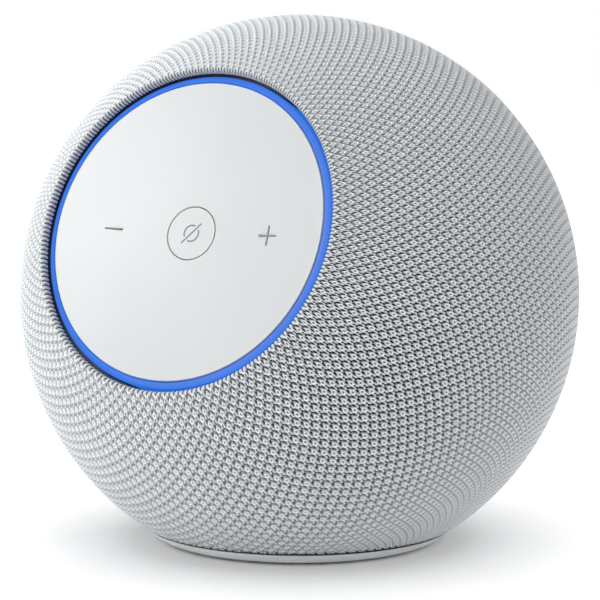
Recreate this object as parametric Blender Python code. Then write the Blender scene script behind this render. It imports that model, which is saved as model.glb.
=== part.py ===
"""Smart speaker: a knit-covered ball on a small round base, with a tilted round control panel.

Frame: the origin is on the floor under the middle of the ball, +Z up, front towards -Y.
Numbers are millimetres; MM turns them into Blender's metres.
"""
import math

import bmesh
import bpy
from mathutils import Matrix, Vector

MM = 0.001
GAP = 0.3

# Ball and base
BALL_R = 54.35
BALL_Z = 47.8
FABRIC_T = 1.2
SHELL_OUT_R = 52.2
SHELL_IN_R = 50.4
FABRIC_BOTTOM_Z = 2.8
SHELL_BOTTOM_Z = 3.2
BASE_TOP_R = 30.05
BASE_TOP_Z = 2.5
BASE_MID_R = 29.1
BASE_MID_Z = 1.4
BASE_BOTTOM_R = 27.2
BASE_BOTTOM_Z = 0.5
SPIGOT_R = 21.4
SPIGOT_Z = 6.0
FOOT_R = 25.2
FOOT_T = 1.2

# Control panel: heights are measured from the ball's centre along the panel's axis
PANEL_TILT = 20.5
PANEL_R = 27.8
PANEL_T = 1.4
PANEL_MID_H = 41.8
PANEL_DISH = 0.00297
OPENING_R = 29.6
RING_IN_R = 28.1
RING_OUT_R = 29.22
RING_IN_H = 43.97
RING_OUT_H = 43.43
RING_BOTTOM_H = 37.2
BOARD_H = 34.6
BOARD_T = 1.2
FRAME_R = 31.2
FRAME_BOTTOM_H = 33.0
KEY_TRAVEL = 0.5
MUTE_R = 4.87
KEY_X = 16.35
KEY_BAR = 3.7
KEY_PROUD = 0.15
KEY_BAR_W = 0.4
SWITCH_TOP_H = 36.8

# Woofer: heights are measured from the ball's centre
WOOFER_Y = 4.5
ENCLOSURE_R = 33.0
ENCLOSURE_TOP = 12.6
ENCLOSURE_BOTTOM = -24.0
WOOFER_R = 30.5
CONE_R = 19.6
COIL_IN_R = 7.5
COIL_OUT_R = 8.2
WOOFER_SCREW_R = 29.0

# Tweeter: distances are measured from the ball's centre along the tweeter's axis
TWEETER_DOWN = 38.0
TWEETER_R = 12.0
TWEETER_BACK = 38.2
TWEETER_FRONT = 47.6

# Electronics and power port
TRAY_Z = 7.0
TRAY_T = 1.8
POST_R = 15.5
POST_ANGLES = (30.0, 150.0, 270.0)
MAIN_BOARD_Z = 12.0
MAIN_BOARD_T = 1.6
PORT_Z = 18.4
PORT_HALF_W = 7.5
PORT_HALF_H = 6.5
PORT_FLOOR_Y = 39.6
PORT_WALL = 1.2

ROUND = 32
INNER_ROUND = 20


def clear_scene():
    for obj in list(bpy.data.objects):
        bpy.data.objects.remove(obj, do_unlink=True)


def material(name, color, roughness, metallic=0.0, glow=0.0):
    found = bpy.data.materials.get(name)
    if found:
        return found
    made = bpy.data.materials.new(name)
    made.use_nodes = True
    shader = made.node_tree.nodes["Principled BSDF"]
    shader.inputs["Base Color"].default_value = (*color, 1.0)
    shader.inputs["Roughness"].default_value = roughness
    shader.inputs["Metallic"].default_value = metallic
    if glow:
        shader.inputs["Emission Color"].default_value = (*color, 1.0)
        shader.inputs["Emission Strength"].default_value = glow
    return made


def add_object(name, bm, mat, parent=None, origin=(0.0, 0.0, 0.0)):
    """Turn a bmesh drawn in millimetres about its own origin into an object placed at origin."""
    bmesh.ops.recalc_face_normals(bm, faces=bm.faces)
    bmesh.ops.scale(bm, vec=(MM, MM, MM), verts=bm.verts)
    mesh = bpy.data.meshes.new(name)
    bm.to_mesh(mesh)
    bm.free()
    mesh.shade_smooth()
    mesh.set_sharp_from_angle(angle=math.radians(35.0))
    obj = bpy.data.objects.new(name, mesh)
    bpy.context.scene.collection.objects.link(obj)
    obj.parent = parent
    obj.location = Vector(origin) * MM
    if mat:
        mesh.materials.append(mat)
    return obj


def turned(profile, segments=ROUND):
    """A solid of revolution about Z; profile is a closed loop of (radius, height)."""
    bm = bmesh.new()
    rings = []
    for radius, height in profile:
        if radius < 1e-6:
            rings.append([bm.verts.new((0.0, 0.0, height))])
            continue
        ring = []
        for k in range(segments):
            angle = 2.0 * math.pi * k / segments
            ring.append(bm.verts.new((radius * math.cos(angle), radius * math.sin(angle), height)))
        rings.append(ring)
    for i, lower in enumerate(rings):
        upper = rings[(i + 1) % len(rings)]
        if len(lower) == 1 and len(upper) == 1:
            continue
        for k in range(segments):
            n = (k + 1) % segments
            if len(lower) == 1:
                bm.faces.new((lower[0], upper[k], upper[n]))
            elif len(upper) == 1:
                bm.faces.new((lower[k], upper[0], lower[n]))
            else:
                bm.faces.new((lower[k], upper[k], upper[n], lower[n]))
    return bm


def box(x0, x1, y0, y1, z0, z1):
    bm = bmesh.new()
    bmesh.ops.create_cube(bm, size=1.0)
    centre = Matrix.Translation(((x0 + x1) / 2, (y0 + y1) / 2, (z0 + z1) / 2))
    size = Matrix.Diagonal((x1 - x0, y1 - y0, z1 - z0, 1.0))
    bmesh.ops.transform(bm, matrix=centre @ size, verts=bm.verts)
    return bm


def disc(radius, z0, z1, segments=ROUND):
    return turned([(0.0, z0), (radius, z0), (radius, z1), (0.0, z1)], segments)


def tube(inner, outer, z0, z1, segments=ROUND):
    return turned([(inner, z0), (outer, z0), (outer, z1), (inner, z1)], segments)


def join(*parts):
    """Put several drawings into one, for a cutter."""
    whole = bmesh.new()
    for part in parts:
        mesh = bpy.data.meshes.new("piece")
        part.to_mesh(mesh)
        part.free()
        whole.from_mesh(mesh)
        bpy.data.meshes.remove(mesh)
    return whole


def moved(bm, x, y, z=0.0):
    bmesh.ops.translate(bm, vec=(x, y, z), verts=bm.verts)
    return bm


def bore(radius, z0, z1, x=0.0, y=0.0, segments=16):
    """A round cutter, turned a little so that its corners miss the edges of what it cuts."""
    bm = disc(radius, z0, z1, segments)
    bmesh.ops.rotate(bm, matrix=Matrix.Rotation(math.radians(3.7), 3, "Z"), verts=bm.verts)
    return moved(bm, x, y)


def facing_back(bm):
    """Turn a drawing made along Z so that it points to the back, along Y."""
    bmesh.ops.rotate(bm, matrix=Matrix.Rotation(math.radians(-90.0), 3, "X"), verts=bm.verts)
    return bm


def rounded_block(half_x, half_z, corner, y0, y1):
    """A block along Y with rounded corners, centred on x = 0 and z = 0."""
    bm = box(-half_x, half_x, y0, y1, -half_z, half_z)
    edges = [e for e in bm.edges if abs(e.verts[0].co.y - e.verts[1].co.y) > 1.0]
    bmesh.ops.bevel(bm, geom=edges, offset=corner, segments=3, affect="EDGES", profile=0.5)
    return bm


def cut(obj, cutter_bm, name, parent=None, origin=(0.0, 0.0, 0.0), operation="DIFFERENCE"):
    """Boolean obj with a cutter drawn in parent's frame."""
    cutter = add_object(name, cutter_bm, None, parent, origin)
    cutter.hide_render = True
    cutter.display_type = "WIRE"
    modifier = obj.modifiers.new(name, "BOOLEAN")
    modifier.operation = operation
    modifier.solver = "EXACT"
    modifier.object = cutter
    return obj


def polar(radius, degrees):
    return radius * math.cos(math.radians(degrees)), radius * math.sin(math.radians(degrees))


def empty(name, location, tilt_x):
    obj = bpy.data.objects.new(name, None)
    bpy.context.scene.collection.objects.link(obj)
    obj.location = Vector(location) * MM
    obj.rotation_euler = (math.radians(tilt_x), 0.0, 0.0)
    return obj


def screw(name, mat, parent, origin, head_r, head_t, shank_r, shank_len):
    """A pan-head screw: the head's top is at the origin and the shank runs down Z."""
    profile = [(0.0, -head_t - shank_len), (shank_r * 0.7, -head_t - shank_len)]
    profile += [(shank_r, -head_t - shank_len + 0.5), (shank_r, -head_t)]
    profile += [(head_r, -head_t), (head_r, -0.35 * head_t), (head_r * 0.72, 0.0)]
    profile += [(head_r * 0.34, 0.0), (head_r * 0.34, -0.45 * head_t), (0.0, -0.45 * head_t)]
    return add_object(name, turned(profile, 8), mat, parent, origin)


# ---------------------------------------------------------------- materials

def make_materials():
    return {
        "fabric": material("knit_fabric", (0.72, 0.73, 0.74), 0.9),
        "panel": material("panel_plastic", (0.82, 0.84, 0.85), 0.45),
        "key": material("key_plastic", (0.14, 0.14, 0.15), 0.4),
        "glow": material("light_guide", (0.06, 0.20, 0.85), 0.4, glow=1.5),
        "base": material("base_plastic", (0.60, 0.61, 0.62), 0.5),
        "inner": material("inner_plastic", (0.10, 0.10, 0.11), 0.6),
        "rubber": material("rubber", (0.16, 0.16, 0.17), 0.85),
        "board": material("circuit_board", (0.03, 0.16, 0.07), 0.5),
        "chip": material("chip", (0.02, 0.02, 0.02), 0.5),
        "led": material("led_body", (0.85, 0.85, 0.80), 0.3),
        "film": material("cable_film", (0.80, 0.80, 0.78), 0.4),
        "painted": material("painted_steel", (0.05, 0.05, 0.055), 0.4),
        "steel": material("steel", (0.55, 0.55, 0.57), 0.35, 1.0),
        "aluminium": material("aluminium", (0.78, 0.79, 0.80), 0.35, 1.0),
        "copper": material("copper", (0.80, 0.42, 0.22), 0.35, 1.0),
        "ferrite": material("ferrite", (0.05, 0.05, 0.05), 0.7),
        "cone": material("cone_paper", (0.06, 0.06, 0.065), 0.8),
        "cloth": material("spider_cloth", (0.55, 0.38, 0.14), 0.9),
        "silk": material("dome_silk", (0.03, 0.03, 0.03), 0.7),
    }


# ---------------------------------------------------------------- outer body

def ball_arc(radius, from_angle, to_angle, steps):
    """Points on the ball's arc, by angle from the panel's axis."""
    points = []
    for k in range(steps + 1):
        angle = math.radians(from_angle + (to_angle - from_angle) * k / steps)
        points.append((radius * math.sin(angle), radius * math.cos(angle)))
    return points


def open_ball(outer_r, inner_r, opening_r, front_steps, back_steps, segments):
    """A hollow ball about the panel's axis with a round opening for the panel."""
    arcs = []
    for radius in (outer_r, inner_r):
        edge = math.degrees(math.asin(opening_r / radius))
        arc = ball_arc(radius, edge, 90.0, front_steps)[:-1]
        arc += ball_arc(radius, 90.0, 180.0, back_steps)
        arc[-1] = (0.0, -radius)
        arcs.append(arc)
    return turned(arcs[0] + arcs[1][::-1], segments)


def port_outline(extra, y0, y1):
    """The power port's rounded outline, grown by extra on every side."""
    return rounded_block(PORT_HALF_W + extra, PORT_HALF_H + extra, 3.0 + extra, y0, y1)


def make_fabric_cover(mats, panel_axis):
    ball = open_ball(BALL_R, BALL_R - FABRIC_T, OPENING_R, 5, 9, ROUND)
    obj = add_object("fabric_cover", ball, mats["fabric"], panel_axis)
    cut(obj, disc(BALL_R * 1.1, -30.0, FABRIC_BOTTOM_Z), "cut_fabric_base")
    cut(obj, port_outline(GAP, 20.0, 70.0), "cut_fabric_port", origin=(0.0, 0.0, PORT_Z))


def radial_window(longitude, latitude, half):
    """A square cutter that runs outwards from the ball's centre; longitude 0 is the front."""
    bm = box(-half, half, -BALL_R * 1.1, -SHELL_IN_R * 0.8, -half, half)
    turn = Matrix.Rotation(math.radians(longitude), 4, "Z")
    lift = Matrix.Rotation(math.radians(-latitude), 4, "X")
    bmesh.ops.transform(bm, matrix=turn @ lift, verts=bm.verts)
    return bm


def make_carrier_shells(mats, panel_axis):
    """Two half shells under the fabric, with square sound windows."""
    windows = {
        "front_carrier_shell": [(lon, -38.0) for lon in (-26.0, 0.0, 26.0)]
        + [(lon, lat) for lon in (-72.0, 72.0) for lat in (-26.0, 0.0, 26.0)],
        "rear_carrier_shell": [(lon, lat) for lon in (110.0, 145.0, 180.0, 215.0, 250.0)
                               for lat in (0.0, 26.0, 52.0)],
    }
    for name, side in (("front_carrier_shell", 1.0), ("rear_carrier_shell", -1.0)):
        ball = open_ball(SHELL_OUT_R, SHELL_IN_R, FRAME_R + 0.9, 3, 6, INNER_ROUND)
        obj = add_object(name, ball, mats["inner"], panel_axis)
        near, far = sorted((side * -GAP / 2, side * BALL_R * 1.2))
        half = box(-60.0, 60.0, near, far, -60.0, 60.0)
        cut(obj, half, "cut_split_" + name, origin=(0.0, 0.0, BALL_Z))
        cut(obj, disc(BALL_R * 1.1, -30.0, SHELL_BOTTOM_Z), "cut_floor_" + name)
        holes = join(*[radial_window(lon, lat, 5.5) for lon, lat in windows[name]])
        cut(obj, holes, "cut_windows_" + name, origin=(0.0, 0.0, BALL_Z))
        if side < 0.0:
            cut(obj, port_outline(GAP, 20.0, 70.0), "cut_shell_port", origin=(0.0, 0.0, PORT_Z))


def make_base(mats):
    """The base cap with its visible band, the rubber foot and three long screws."""
    groove_z = FOOT_T + GAP
    floor_z = 4.0
    profile = [(0.0, groove_z), (FOOT_R + 0.4, groove_z), (FOOT_R + 0.4, BASE_BOTTOM_Z)]
    profile += [(BASE_BOTTOM_R, BASE_BOTTOM_Z), (BASE_MID_R, BASE_MID_Z)]
    profile += [(BASE_TOP_R, BASE_TOP_Z), (SPIGOT_R, BASE_TOP_Z), (SPIGOT_R, SPIGOT_Z)]
    profile += [(SPIGOT_R - 1.6, SPIGOT_Z), (SPIGOT_R - 1.6, floor_z), (0.0, floor_z)]
    cap = add_object("base_cap", turned(profile), mats["base"])
    seats = []
    for number, angle in enumerate(POST_ANGLES, start=1):
        x, y = polar(POST_R, angle)
        seats.append(bore(2.6, 0.0, 3.0, x, y))
        seats.append(bore(1.5, 2.5, 6.0, x, y))
        mesh = screw("base_screw_%d" % number, mats["steel"], None, (x, y, 1.8), 2.2, 0.9, 1.1, 8.5)
        mesh.rotation_euler = (math.pi, 0.0, 0.0)
    for number, seat in enumerate(seats):
        cut(cap, seat, "cut_screw_seat_%d" % number)
    edge = 0.5
    foot = [(0.0, 0.0), (FOOT_R - edge, 0.0), (FOOT_R, edge), (FOOT_R, FOOT_T), (0.0, FOOT_T)]
    add_object("rubber_foot", turned(foot), mats["rubber"])


def make_port(mats):
    """The pocket at the lower back and the power jack that looks into it."""
    origin = (0.0, 0.0, PORT_Z)
    back_y = PORT_FLOOR_Y - 1.4
    bezel = add_object("port_bezel", port_outline(0.0, back_y, 54.0), mats["base"], None, origin)
    pocket = rounded_block(PORT_HALF_W - PORT_WALL, PORT_HALF_H - PORT_WALL, 2.2, PORT_FLOOR_Y, 60.0)
    cut(bezel, pocket, "cut_pocket", origin=origin)
    cut(bezel, facing_back(bore(4.2, 30.0, 50.0, segments=24)), "cut_jack_hole", origin=origin)
    ball = turned(ball_arc(BALL_R - 0.2, 0.0, 180.0, 24)[::-1], ROUND)
    cut(bezel, ball, "keep_inside_ball", origin=(0.0, 0.0, BALL_Z), operation="INTERSECT")

    body = add_object("dc_jack", box(-4.6, 4.6, 24.0, 36.5, -4.4, 4.4), mats["chip"], None, origin)
    for name, radius, y0, y1, operation in (
        ("add_barrel", 3.8, 30.0, PORT_FLOOR_Y, "UNION"),
        ("cut_bore", 3.1, 30.4, 50.0, "DIFFERENCE"),
    ):
        part = facing_back(bore(radius, y0, y1, segments=24))
        cut(body, part, name, origin=origin, operation=operation)
    pin = turned([(0.0, 30.7), (1.0, 30.7), (1.0, 38.6), (0.7, 39.0), (0.0, 39.0)], 16)
    add_object("dc_jack_pin", facing_back(pin), mats["steel"], None, origin)


# ---------------------------------------------------------------- control panel

def panel_height(radius):
    """Height of the dished panel's face at a distance from its axis."""
    return PANEL_MID_H + PANEL_DISH * radius * radius


def key_bars(grow, z0, z1, crossed):
    """The raised sign of a key: one bar, or two crossed bars."""
    half = KEY_BAR / 2 + grow
    wide = KEY_BAR_W / 2 + grow
    if not crossed:
        return box(-half, half, -wide, wide, z0, z1)
    bm = bmesh.new()
    corners = [(half, wide), (wide, wide), (wide, half)]
    outline = []
    for quarter in range(4):
        turn = Matrix.Rotation(math.radians(90.0 * quarter), 2)
        outline += [turn @ Vector(c) for c in corners]
    face = bm.faces.new([bm.verts.new((p.x, p.y, z0)) for p in outline])
    grown = bmesh.ops.extrude_face_region(bm, geom=[face])
    top = [v for v in grown["geom"] if isinstance(v, bmesh.types.BMVert)]
    bmesh.ops.translate(bm, vec=(0.0, 0.0, z1 - z0), verts=top)
    return bm


def make_panel(mats, axis):
    """The dished disc with a hole for the mute button and slots for the two keys."""
    hole_r = MUTE_R + GAP
    radii = [hole_r, 10.0, 15.0, 19.0, 23.5, PANEL_R - 0.25]
    top = [(r, panel_height(r)) for r in radii] + [(PANEL_R, panel_height(PANEL_R) - 0.2)]
    bottom = [(r, panel_height(r) - PANEL_T) for r in [PANEL_R] + radii[-2::-1]]
    panel = add_object("control_panel", turned(top + bottom), mats["panel"], axis)
    for name, side, crossed in (("minus", -1.0, False), ("plus", 1.0, True)):
        slot = key_bars(GAP, 38.0, 46.0, crossed)
        cut(panel, slot, "cut_slot_" + name, axis, (side * KEY_X, 0.0, 0.0))


def make_keys(mats, axis):
    """The mute button and the two volume keys: each has a flange below the panel and a stem."""
    stem_bottom = SWITCH_TOP_H + KEY_TRAVEL + 0.2
    top = [(r, panel_height(r)) for r in (0.0, 2.4, MUTE_R - 0.15)]
    profile = top + [(MUTE_R, panel_height(MUTE_R) - 0.15), (MUTE_R, 39.9), (6.2, 39.9), (6.2, 38.9)]
    profile += [(1.3, 38.9), (1.3, stem_bottom), (0.0, stem_bottom)]
    drawn = turned([(r, h - PANEL_MID_H) for r, h in profile], 24)
    add_object("mute_button", drawn, mats["panel"], axis, (0.0, 0.0, PANEL_MID_H))

    face = panel_height(KEY_X) + KEY_PROUD
    for name, side, crossed in (("volume_down_key", -1.0, False), ("volume_up_key", 1.0, True)):
        flange = [(0.0, stem_bottom - face), (1.2, stem_bottom - face), (1.2, 39.5 - face)]
        flange += [(3.2, 39.5 - face), (3.2, 40.4 - face), (0.0, 40.4 - face)]
        key = add_object(name, turned(flange, 16), mats["key"], axis, (side * KEY_X, 0.0, face))
        bars = key_bars(0.0, 40.0 - face, 0.0, crossed)
        cut(key, bars, "add_bars_" + name, axis, (side * KEY_X, 0.0, face), "UNION")


def make_ring_and_frame(mats, axis):
    """The light guide ring, the frame that carries the panel, and the key mat."""
    ring = [(RING_IN_R, RING_BOTTOM_H), (RING_OUT_R, RING_BOTTOM_H), (RING_OUT_R, RING_OUT_H)]
    ring += [(RING_IN_R, RING_IN_H), (RING_IN_R, 42.2), (25.6, 41.7), (25.6, 40.9), (RING_IN_R, 40.9)]
    add_object("light_ring", turned(ring, 40), mats["glow"], axis)

    floor_top = FRAME_BOTTOM_H + 1.3
    frame = [(21.5, FRAME_BOTTOM_H), (FRAME_R - 1.0, FRAME_BOTTOM_H), (FRAME_R, FRAME_BOTTOM_H + 1.0)]
    frame += [(FRAME_R, 42.0), (RING_OUT_R + 0.4, 42.0), (RING_OUT_R + 0.4, floor_top), (21.5, floor_top)]
    frame_obj = add_object("panel_frame", turned(frame), mats["inner"], axis)

    mat = add_object("key_mat", disc(20.8, 37.6, 38.0, 24), mats["rubber"], axis)
    for name, x, radius in (("mute", 0.0, 2.0), ("minus", -KEY_X, 1.9), ("plus", KEY_X, 1.9)):
        cut(mat, bore(radius, 37.0, 39.0), "cut_mat_" + name, axis, (x, 0.0, 0.0))
    return frame_obj


def make_control_board(mats, axis, frame):
    """The round board under the keys with its switches, lights, microphones and screws."""
    top = BOARD_H + BOARD_T
    seat = top + GAP
    board = add_object("control_board", disc(28.9, BOARD_H, top), mats["board"], axis)
    for name, x in (("mute_switch", 0.0), ("volume_down_switch", -KEY_X), ("volume_up_switch", KEY_X)):
        body = turned([(0.0, seat), (2.4, seat), (2.4, SWITCH_TOP_H - 0.25), (1.1, SWITCH_TOP_H),
                       (0.0, SWITCH_TOP_H)], 16)
        add_object(name, body, mats["steel"], axis, (x, 0.0, 0.0))
    for number, angle in enumerate((45.0, 135.0, 225.0, 315.0), start=1):
        x, y = polar(27.6, angle)
        led = add_object("ring_led_%d" % number, box(-0.8, 0.8, -0.8, 0.8, seat, seat + 0.7),
                         mats["led"], axis, (x, y, 0.0))
        led.rotation_euler = (0.0, 0.0, math.radians(angle))
    for name, angle in (("microphone_left", 160.0), ("microphone_right", 20.0)):
        x, y = polar(24.6, angle)
        add_object(name, box(-1.9, 1.9, -1.4, 1.4, seat, seat + 1.0), mats["steel"], axis, (x, y, 0.0))
    for number, angle in enumerate((90.0, 210.0, 330.0), start=1):
        x, y = polar(24.0, angle)
        cut(board, bore(1.3, 34.0, 37.0, x, y, 12), "cut_board_hole_%d" % number, axis)
        cut(frame, bore(1.3, 32.0, 35.0, x, y, 12), "cut_frame_hole_%d" % number, axis)
        screw("panel_screw_%d" % number, mats["steel"], axis, (x, y, seat + 1.1), 1.9, 1.1, 1.0, 3.0)


# ---------------------------------------------------------------- loudspeakers

def make_enclosure(mats, spot):
    """The sealed box behind the woofer."""
    wall = 1.8
    top = ENCLOSURE_TOP
    bottom = ENCLOSURE_BOTTOM
    profile = [(0.0, bottom), (ENCLOSURE_R - 3.0, bottom), (ENCLOSURE_R, bottom + 3.0)]
    profile += [(ENCLOSURE_R, top), (26.8, top), (26.8, top - 2.4), (ENCLOSURE_R - wall, top - 2.4)]
    profile += [(ENCLOSURE_R - wall, bottom + wall + 2.2), (ENCLOSURE_R - wall - 2.2, bottom + wall)]
    profile += [(0.0, bottom + wall)]
    box_obj = add_object("speaker_enclosure", turned(profile, INNER_ROUND), mats["inner"], None, spot)
    ring = tube(27.0, WOOFER_R, top + GAP, top + 0.9, INNER_ROUND)
    gasket = add_object("woofer_gasket", ring, mats["rubber"], None, spot)
    return box_obj, gasket


def make_woofer_frame(mats, spot, enclosure, gasket):
    """Basket, gasket holes and the four screws that hold them down."""
    profile = [(25.0, 13.8), (WOOFER_R, 13.8), (WOOFER_R, 15.4), (24.6, 15.4), (17.6, 6.6), (17.6, 4.8)]
    profile += [(14.6, 4.8), (14.6, 1.8), (10.0, 1.8), (10.0, 0.6), (16.0, 0.6), (16.0, 3.4)]
    profile += [(19.0, 3.4), (19.0, 6.0)]
    basket = add_object("woofer_basket", turned(profile, INNER_ROUND), mats["painted"], None, spot)
    for number in range(4):
        x, y = polar(WOOFER_SCREW_R, 45.0 + 90.0 * number)
        for name, obj in (("basket", basket), ("gasket", gasket), ("box", enclosure)):
            hole = bore(1.5, 8.0, 17.0, x, y, 12)
            cut(obj, hole, "cut_%s_hole_%d" % (name, number), None, spot)
        place = (spot[0] + x, spot[1] + y, spot[2] + 16.9)
        screw("woofer_screw_%d" % (number + 1), mats["steel"], None, place, 2.1, 1.2, 1.15, 6.5)


def make_woofer_motor(mats, spot):
    """Top plate, ring magnet and the yoke with its pole."""
    add_object("woofer_top_plate", tube(8.6, 14.0, -2.7, 0.3, INNER_ROUND), mats["steel"], None, spot)
    add_object("woofer_magnet", tube(9.4, 15.0, -9.2, -3.0, INNER_ROUND), mats["ferrite"], None, spot)
    yoke = [(0.0, -12.5), (14.2, -12.5), (14.2, -9.5), (7.1, -9.5), (7.1, 0.3), (0.0, 0.3)]
    add_object("woofer_yoke", turned(yoke, INNER_ROUND), mats["steel"], None, spot)


def make_woofer_moving_parts(mats, spot):
    """Cone, dust cap, voice coil, and the two soft rings that let them move."""
    turns = [math.pi * k / 5 for k in range(6)]
    roll = [(22.6 - 2.5 * math.cos(a), 16.1 + 2.3 * math.sin(a)) for a in turns]
    under = [(22.6 - 2.1 * math.cos(a), 15.7 + 2.2 * math.sin(a)) for a in turns]
    surround = [(18.4, 16.1)] + roll + [(26.3, 16.1), (26.3, 15.7)] + under[::-1] + [(18.4, 15.7)]
    add_object("woofer_surround", turned(surround, INNER_ROUND), mats["rubber"], None, spot)
    cone = [(8.5, 8.0), (9.3, 8.0), (CONE_R - 1.2, 14.6), (CONE_R, 14.6), (CONE_R, 15.4)]
    cone += [(CONE_R - 1.6, 15.4), (8.5, 9.0)]
    add_object("woofer_cone", turned(cone, INNER_ROUND), mats["cone"], None, spot)
    cap = [(10.4, 10.8), (9.9, 11.4), (6.8, 12.9), (3.5, 13.7), (0.0, 14.0), (0.0, 13.3)]
    cap += [(3.3, 13.0), (6.4, 12.3), (9.2, 10.9)]
    add_object("woofer_dust_cap", turned(cap, INNER_ROUND), mats["cone"], None, spot)
    coil = tube(COIL_IN_R, COIL_OUT_R, -2.5, 9.3, INNER_ROUND)
    add_object("woofer_voice_coil", coil, mats["copper"], None, spot)
    spider = [(8.5, 5.2), (10.0, 5.2), (11.0, 6.0), (12.6, 6.0), (13.4, 5.2), (17.2, 5.2)]
    spider += [(17.2, 5.7), (13.7, 5.7), (12.9, 6.5), (10.7, 6.5), (9.7, 5.7), (8.5, 5.7)]
    add_object("woofer_spider", turned(spider, INNER_ROUND), mats["cloth"], None, spot)


def make_tweeter(mats, axis):
    """A small dome speaker that points out and down below the panel."""
    back, front, r = TWEETER_BACK, TWEETER_FRONT, TWEETER_R
    housing = [(0.0, back), (r - 1.0, back), (r, back + 1.0), (r, front), (7.4, front - 0.9)]
    housing += [(7.4, front - 2.2), (r - 1.4, front - 2.2), (r - 1.4, back + 1.2), (0.0, back + 1.2)]
    add_object("tweeter_housing", turned(housing, INNER_ROUND), mats["inner"], axis)
    yoke = [(0.0, back + 1.5), (9.0, back + 1.5), (9.0, back + 5.6), (7.4, back + 5.6)]
    yoke += [(7.4, back + 2.8), (0.0, back + 2.8)]
    add_object("tweeter_yoke", turned(yoke, INNER_ROUND), mats["steel"], axis)
    add_object("tweeter_magnet", disc(5.9, back + 3.1, back + 5.2, INNER_ROUND), mats["ferrite"], axis)
    dome = [(6.4, back + 3.8), (6.9, back + 3.8), (6.9, back + 6.2), (5.6, back + 7.4)]
    dome += [(3.2, back + 8.3), (0.0, back + 8.7), (0.0, back + 8.3), (3.0, back + 7.9)]
    dome += [(5.3, back + 7.05), (6.4, back + 6.0)]
    drawn = turned([(a, b - back) for a, b in dome], INNER_ROUND)
    add_object("tweeter_dome", drawn, mats["silk"], axis, (0.0, 0.0, back))


# ---------------------------------------------------------------- electronics

def make_tray_and_board(mats):
    """The tray whose posts carry the board and the speaker enclosure."""
    tray = add_object("chassis_tray", disc(26.0, TRAY_Z, TRAY_Z + TRAY_T), mats["inner"])
    board = box(-22.0, 22.0, -20.0, 30.0, MAIN_BOARD_Z, MAIN_BOARD_Z + MAIN_BOARD_T)
    edges = [e for e in board.edges if abs(e.verts[0].co.z - e.verts[1].co.z) > 1.0]
    bmesh.ops.bevel(board, geom=edges, offset=8.0, segments=2, affect="EDGES", profile=0.5)
    board_obj = add_object("main_board", board, mats["board"])
    for number, angle in enumerate(POST_ANGLES, start=1):
        x, y = polar(POST_R, angle)
        post = turned([(0.0, 4.3), (3.2, 4.3), (3.2, 8.0), (4.2, 8.4), (4.2, 11.7), (2.9, 11.7),
                       (2.9, 23.4), (0.0, 23.4)], 12)
        cut(tray, moved(post, x, y), "add_post_%d" % number, operation="UNION")
        cut(tray, bore(1.4, 3.0, 12.0, x, y, 12), "cut_post_%d" % number)
        hole = bore(3.3, MAIN_BOARD_Z - 1.0, MAIN_BOARD_Z + 3.0, x, y, 12)
        cut(board_obj, hole, "cut_board_post_%d" % number)


def make_board_parts(mats):
    """What stands on the main board."""
    seat = MAIN_BOARD_Z + MAIN_BOARD_T + GAP
    blocks = (
        ("processor", mats["chip"], -7.0, 5.0, -9.0, 3.0, seat, seat + 1.4),
        ("heat_spreader", mats["aluminium"], -11.0, 9.0, -12.0, 6.0, seat + 1.7, seat + 3.2),
        ("wifi_module", mats["steel"], -9.0, 7.0, 10.5, 20.5, seat, seat + 2.4),
    )
    for name, mat, x0, x1, y0, y1, z0, z1 in blocks:
        add_object(name, box(x0, x1, y0, y1, z0, z1), mat)
    coil = turned([(0.0, seat), (3.4, seat), (3.4, seat + 1.0), (2.8, seat + 1.4), (2.8, seat + 4.0),
                   (3.4, seat + 4.4), (3.4, seat + 5.2), (0.0, seat + 5.2)], 20)
    add_object("power_inductor", coil, mats["copper"], None, (17.0, 18.5, 0.0))
    can = turned([(0.0, seat), (3.0, seat), (3.0, seat + 1.0), (2.7, seat + 1.3), (3.0, seat + 1.6),
                  (3.0, seat + 7.2), (2.6, seat + 7.6), (0.0, seat + 7.6)], 20)
    add_object("power_capacitor", can, mats["aluminium"], None, (-17.0, 19.0, 0.0))


def make_ribbon_cable(mats):
    """The flat cable from the control board down past the enclosure to the main board."""
    half_width = 2.5
    half_thick = 0.15
    knots = [(-34.5, 4.4), (-32.8, 2.4), (-30.6, -4.0), (-29.0, -14.0), (-27.0, -24.0),
             (-21.5, -30.4), (-14.5, -31.0)]
    path = []
    for i in range(len(knots) - 1):
        before = Vector(knots[max(i - 1, 0)])
        start = Vector(knots[i])
        end = Vector(knots[i + 1])
        after = Vector(knots[min(i + 2, len(knots) - 1)])
        for k in range(4):
            t = k / 4
            path.append(0.5 * (2 * start + (end - before) * t
                               + (2 * before - 5 * start + 4 * end - after) * t * t
                               + (3 * start - before - 3 * end + after) * t ** 3))
    path.append(Vector(knots[-1]))
    bm = bmesh.new()
    rings = []
    for i, point in enumerate(path):
        along = (path[min(i + 1, len(path) - 1)] - path[max(i - 1, 0)]).normalized()
        across = Vector((-along.y, along.x)) * half_thick
        ring = []
        for x, side in ((-1, -1), (1, -1), (1, 1), (-1, 1)):
            spot = point + across * side
            ring.append(bm.verts.new((x * half_width, spot.x, spot.y)))
        rings.append(ring)
    for lower, upper in zip(rings, rings[1:]):
        for k in range(4):
            n = (k + 1) % 4
            bm.faces.new((lower[k], lower[n], upper[n], upper[k]))
    bm.faces.new(rings[0][::-1])
    bm.faces.new(rings[-1])
    add_object("ribbon_cable", bm, mats["film"], None, (15.5, 0.0, BALL_Z))


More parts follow.
